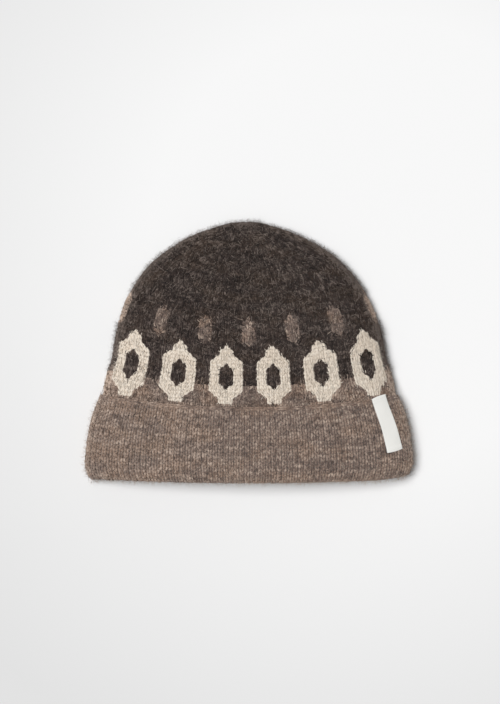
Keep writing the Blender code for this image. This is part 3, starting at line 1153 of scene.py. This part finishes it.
LABEL_WIDTH = 13.4 * MM
LABEL_LENGTH = 44.8 * MM
LABEL_THICKNESS = 0.6 * MM
LABEL_CLEARANCE = 0.4 * MM
LABEL_FROM_FOLD = 22.0 * MM
LABEL_ABOVE_EDGE = 1.5 * MM
LABEL_TURN = math.radians(7.5)
LABEL_FOLD = 4 * MM
LABEL_BULGE = 0.5 * MM
LABEL_STEPS_ACROSS = 22
LABEL_STEPS_DOWN = 116
THREAD_RADIUS = 0.16 * MM
THREAD_LEVEL = LABEL_THICKNESS + 0.3 * MM
END_STITCHES = 6


def striped(tree, shader, place, scale, distortion, direction, dark, light):
    """Colours the shader in fine soft stripes between two colours. Gives the stripes, from 0 to 1."""
    values = {"Vector": place, "Scale": scale, "Distortion": distortion}
    stripes = new_node(tree, "TexWave", values, bands_direction=direction).outputs["Fac"]
    give(tree, shader, {"Base Color": mixed(tree, stripes, dark, light)})
    return stripes


def ribbon():
    """Off-white ribbon, with fine uneven ribs in its weave."""
    material, shader, tree = new_material("label_ribbon", {"Roughness": 0.75, "Sheen Weight": 0.15})
    place = attribute(tree, "ribbon").outputs["Vector"]
    dark, light = (0.84, 0.83, 0.79, 1), (0.93, 0.92, 0.88, 1)
    ribs = striped(tree, shader, place, 900, 0.6, "X", dark, light)
    add_relief(tree, shader, ribs, 0.4, 0.1 * MM)
    return material


def ribbon_thread():
    """Twisted off-white thread."""
    material, shader, tree = new_material("label_thread", {"Roughness": 0.6})
    dark, light = (0.66, 0.64, 0.60, 1), (0.84, 0.82, 0.78, 1)
    striped(tree, shader, object_place(tree), 1400, 0.0, "DIAGONAL", dark, light)
    return material


label_turn = (cloth.half_front(CUFF_DEPTH) - LABEL_FROM_FOLD) / cloth.way_round(CUFF_DEPTH)


def label_place(beside, below, out, stretch=1.0):
    """A point of the label: beside its middle line, below its upper end, and above the cuff's face."""
    down = stretch * below * math.cos(LABEL_TURN) - beside * math.sin(LABEL_TURN)
    over = beside * math.cos(LABEL_TURN) + stretch * below * math.sin(LABEL_TURN)
    level = CUFF_OUTSIDE + LABEL_CLEARANCE + out
    turns = label_turn + over / round_cuff(CUFF_DEPTH)
    return cloth.at(turns, CUFF_DEPTH + LABEL_ABOVE_EDGE - down, level)


def label_stretch():
    """How much longer the label has to be laid along the sloping rows to keep its own length."""
    line = label_place(0.0, np.linspace(0, LABEL_LENGTH, 40), 0.0)
    return LABEL_LENGTH / np.linalg.norm(np.diff(line, axis=0), axis=1).sum()


def woven_label():
    """The bare ribbon on the cuff, turned a little on the knitting, its upper end just past the edge.
    Its ends are folded under, so they are thicker, and its long edges have a woven selvedge."""
    wide, long = LABEL_STEPS_ACROSS, LABEL_STEPS_DOWN
    across = (np.arange(wide + 1) / wide - 0.5) * LABEL_WIDTH
    down = np.arange(long + 1) / long * LABEL_LENGTH
    below, beside = np.meshgrid(down, across, indexing="ij")
    to_end = np.minimum(below, LABEL_LENGTH - below)
    to_side = LABEL_WIDTH / 2 - np.abs(beside)
    folded = np.clip((LABEL_FOLD - to_end) / (0.8 * MM) + 0.5, 0, 1)
    selvedge = np.exp(-(((to_side - 0.9 * MM) / (0.45 * MM)) ** 2))
    rounded = np.clip(np.minimum(to_end, to_side) / (0.5 * MM), 0, 1) ** 0.5
    bulge = LABEL_BULGE * (1 - (2 * beside / LABEL_WIDTH) ** 2)
    wave = 0.12 * MM * np.sin(below / LABEL_LENGTH * 9.0) * np.cos(beside / LABEL_WIDTH * 4.0)
    top = (LABEL_THICKNESS + 0.22 * MM * folded + 0.07 * MM * selvedge) * (0.45 + 0.55 * rounded) + wave
    stretch = label_stretch()
    bent = below + bulge * (2 * below / LABEL_LENGTH - 1)
    layers = [label_place(beside, bent, out, stretch) for out in (0 * top, top)]
    points = np.concatenate([layer.reshape(-1, 3) for layer in layers])
    number = np.arange((long + 1) * (wide + 1)).reshape(long + 1, wide + 1)
    quads = np.stack([number[:-1, :-1], number[1:, :-1], number[1:, 1:], number[:-1, 1:]], -1)
    quads = quads.reshape(-1, 4)
    rim = np.concatenate([number[0, :-1], number[:-1, -1], number[-1, :0:-1], number[:0:-1, 0]])
    after = np.roll(rim, -1)
    sides = np.stack([rim, after, after + number.size, rim + number.size], -1)
    obj = mesh_object("label_ribbon", points, [quads[:, ::-1], quads + number.size, sides], [ribbon()])
    flat = np.stack([beside, below, 0 * beside], -1).reshape(-1, 3)
    point_values(obj, "ribbon", np.concatenate([flat, flat]))
    add(obj, "label_weave", "label")


def label_thread():
    """The short stitches that hold the label's two ends."""
    rng = np.random.default_rng(THREAD_SEED)
    across = ((np.arange(END_STITCHES) + 0.5) / END_STITCHES - 0.5) * (LABEL_WIDTH - 2.4 * MM)
    beside = np.repeat(across, 2)
    below = np.tile([1.3 * MM, LABEL_LENGTH - 1.3 * MM], END_STITCHES)
    count, sides = len(beside), 5
    angle = 2 * math.pi * np.arange(sides) / sides
    half_length = 0.62 * MM
    shape = (count, 2, sides)
    along = np.broadcast_to(half_length * np.array([-0.55, 0.55])[None, :, None], shape)
    lean = rng.normal(0, 0.1, count)
    x = beside[:, None, None] + along
    y = below[:, None, None] + THREAD_RADIUS * np.cos(angle) + lean[:, None, None] * along
    z = np.broadcast_to(THREAD_LEVEL + THREAD_RADIUS * np.sin(angle), shape)
    ends = half_length * np.array([-1, 1])
    x = with_tips(x, beside[:, None] + ends)
    y = with_tips(y, below[:, None] + lean[:, None] * ends)
    z = with_tips(z, np.full((count, 2), THREAD_LEVEL - 2 * THREAD_RADIUS))
    points = label_place(x, y, z, label_stretch())
    quads, fans = leg_faces(2, sides)
    first = np.arange(count)[:, None, None] * (2 * sides + 2)
    obj = mesh_object(
        "label_thread",
        points.reshape(-1, 3),
        [(first + quads).reshape(-1, 4), (first + fans).reshape(-1, 3)],
        [ribbon_thread()],
    )
    add(obj, "label_weave")


woven_label()
label_thread()


def under_label(turn, from_edge, per_turn):
    """Which places the label covers, or nearly does. from_edge counts down from the cuff's top edge."""
    over = (turn - label_turn) * per_turn - from_edge * math.sin(LABEL_TURN)
    beside = np.abs(over) < 0.5 * LABEL_WIDTH + 2 * MM
    return beside & (from_edge > -LABEL_ABOVE_EDGE - 3 * MM) & (from_edge < LABEL_LENGTH + 3 * MM)


# Loose fibres: name, what they grow on, its stitches and yarn, how many, of what kind, material and slot

fleece = (
    ("crown_felt", on_body, body, CHARCOAL, 12500, CROWN_TUFT, charcoal_wool, "crown_knit"),
    ("yoke_taupe_felt", on_body, body, TAUPE, 2800, TAUPE_TUFT, yoke_taupe_wool, "cuff_knit"),
    ("yoke_cream_felt", on_body, body, CREAM, 4600, CREAM_TUFT, cream_wool, "label_weave"),
    ("cuff_felt", on_cuff, cuff, TAUPE, 8000, CUFF_TUFT, taupe_wool, "cuff_knit"),
    ("crown_hairs", on_body, body, CHARCOAL, 8000, HAIR, charcoal_wool, "crown_knit"),
    ("cream_hairs", on_body, body, CREAM, 1500, HAIR, cream_wool, "label_weave"),
    ("cuff_hairs", on_cuff, cuff, TAUPE, 8500, HAIR, taupe_wool, "cuff_knit"),
)
for seed, (name, place, stitches, yarn, count, kind, material, slot) in enumerate(fleece, FIBRE_SEED):
    own = chosen(stitches, stitches["yarn"] == yarn)
    add(loose_fibres(name, place, own, count, kind, material, seed, under_label), slot)

# The surface, the light and the camera. The paper holds painted light: it is painted whitest at one place,
# and falls off in painted shade to a share of that between two distances from it.

PAPER_WHITE = 0.848
PAPER_PAINTED_LIGHT_SPOT = (0.10, 0.09, 0)
PAPER_FALL_START = 0.18
PAPER_FALL_END = 0.45
PAPER_PAINTED_SHADE_SHARE = 0.815
SURFACE_HALF = 3.0
WINDOW_STRENGTH = 3.10
WINDOW_SPREAD = math.radians(32)
WINDOW_TILT = (math.radians(-5), math.radians(-20), 0)
FILL_STRENGTH = 0.18
CAMERA_PLACE = (0.1 * MM, 1.2 * MM)
CAMERA_HEIGHT = 2.0
CAMERA_LEVEL = 10 * MM
SEEN_HEIGHT = 563.2 * MM


def paper():
    """Near-white paper, a little darker away from the picture's upper right, as the light falls off."""
    material, shader, tree = new_material("paper", {"Roughness": 0.9, "Specular IOR Level": 0.2})
    # Painted shade: the paper's colour is darker away from its painted light spot
    ends = {0: object_place(tree), 1: PAPER_PAINTED_LIGHT_SPOT}
    away = new_node(tree, "VectorMath", ends, operation="DISTANCE").outputs["Value"]
    darkest = PAPER_WHITE * PAPER_PAINTED_SHADE_SHARE
    white = remapped(tree, away, PAPER_FALL_START, PAPER_FALL_END, PAPER_WHITE, darkest)
    give(tree, shader, {"Base Color": white})
    return material


def surface():
    """The flat surface that the hat lies on."""
    corners = SURFACE_HALF * np.array([(-1, -1, 0), (1, -1, 0), (1, 1, 0), (-1, 1, 0)])
    mesh_object("surface", corners, [np.array([[0, 1, 2, 3]])], [paper()])


def window_light():
    """Broad soft daylight from the picture's upper left."""
    light = bpy.data.lights.new("window", "SUN")
    light.angle = WINDOW_SPREAD
    light.energy = WINDOW_STRENGTH
    new_object("window", light).rotation_euler = WINDOW_TILT


def world(strength):
    """Even white light from all sides."""
    made = bpy.data.worlds.new("studio")
    made.use_nodes = True
    background = made.node_tree.nodes["Background"]
    background.inputs["Color"].default_value = (1, 1, 1, 1)
    background.inputs["Strength"].default_value = strength
    bpy.context.scene.world = made


def camera():
    """Straight above the hat, far away, as the photograph was taken."""
    made = bpy.data.cameras.new("camera")
    made.sensor_width = 36
    made.lens = made.sensor_width * (CAMERA_HEIGHT - CAMERA_LEVEL) / SEEN_HEIGHT
    obj = new_object("camera", made)
    obj.location = (*CAMERA_PLACE, CAMERA_HEIGHT)
    bpy.context.scene.camera = obj


surface()
window_light()
world(FILL_STRENGTH)
camera()
bpy.context.scene.view_settings.view_transform = "Standard"
